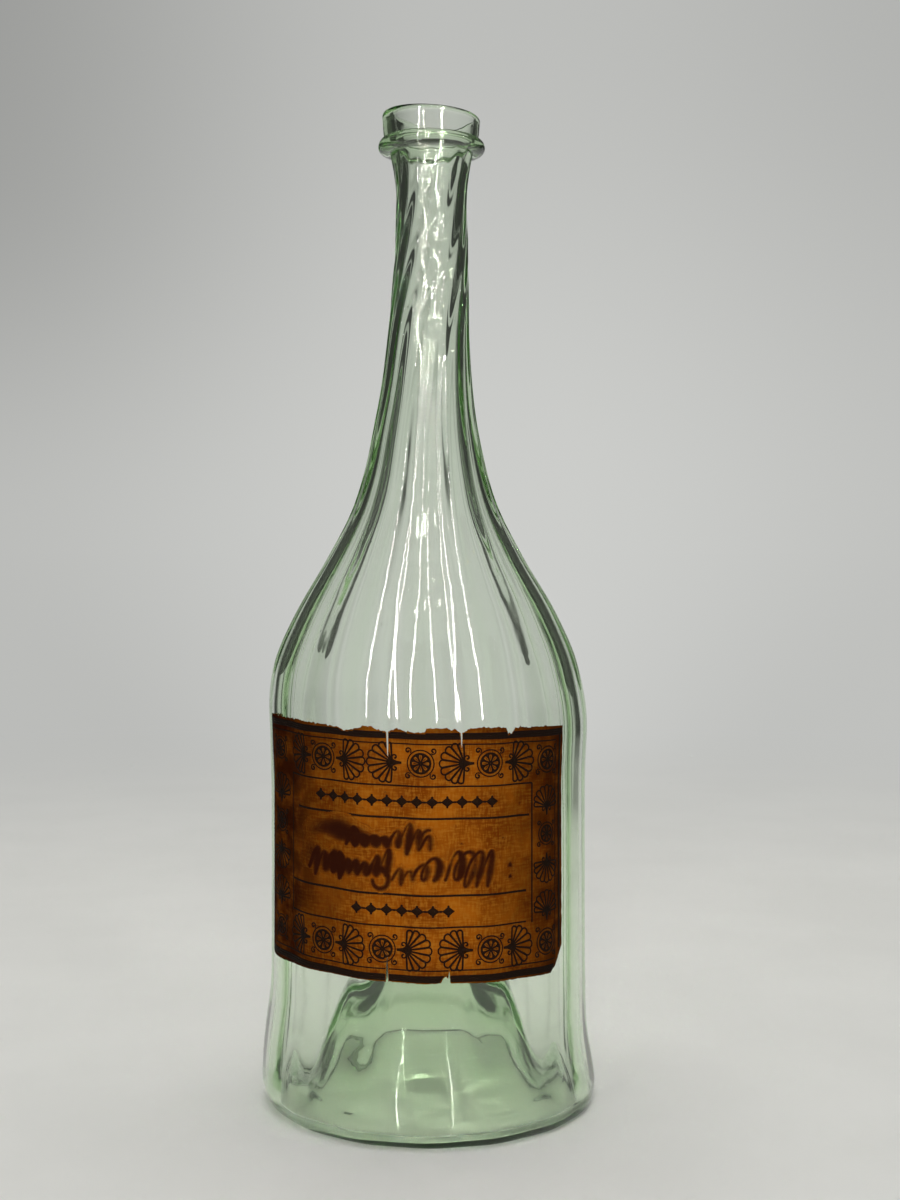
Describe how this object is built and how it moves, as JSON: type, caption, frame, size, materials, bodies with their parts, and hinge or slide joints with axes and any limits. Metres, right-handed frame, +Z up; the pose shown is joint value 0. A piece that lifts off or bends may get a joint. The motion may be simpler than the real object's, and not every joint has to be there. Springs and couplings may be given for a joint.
{
  "type": "medicine bottle",
  "caption": "Tall long-necked mould-blown glass bottle with a flared lip, string ring, pushed-up base and pasted paper label.",
  "frame": {"origin": "centre of the resting ring, on the plane that the bottle stands on", "axes": "+Z up along the bottle, -Y out of the front, where the label is"},
  "size_m": [0.0954, 0.0954, 0.2795],
  "materials": {
    "green_glass": "fire-polished, seeded",
    "ring_glass": "fire-polished",
    "scar_glass": "rough where it broke off the pontil",
    "aged_paper": "browned laid paper"
  },
  "bodies": {
    "root": {"glass_body": "green_glass", "string_ring": "ring_glass", "pontil_scar": "scar_glass", "paper_label": "aged_paper"}
  },
  "joints": []
}
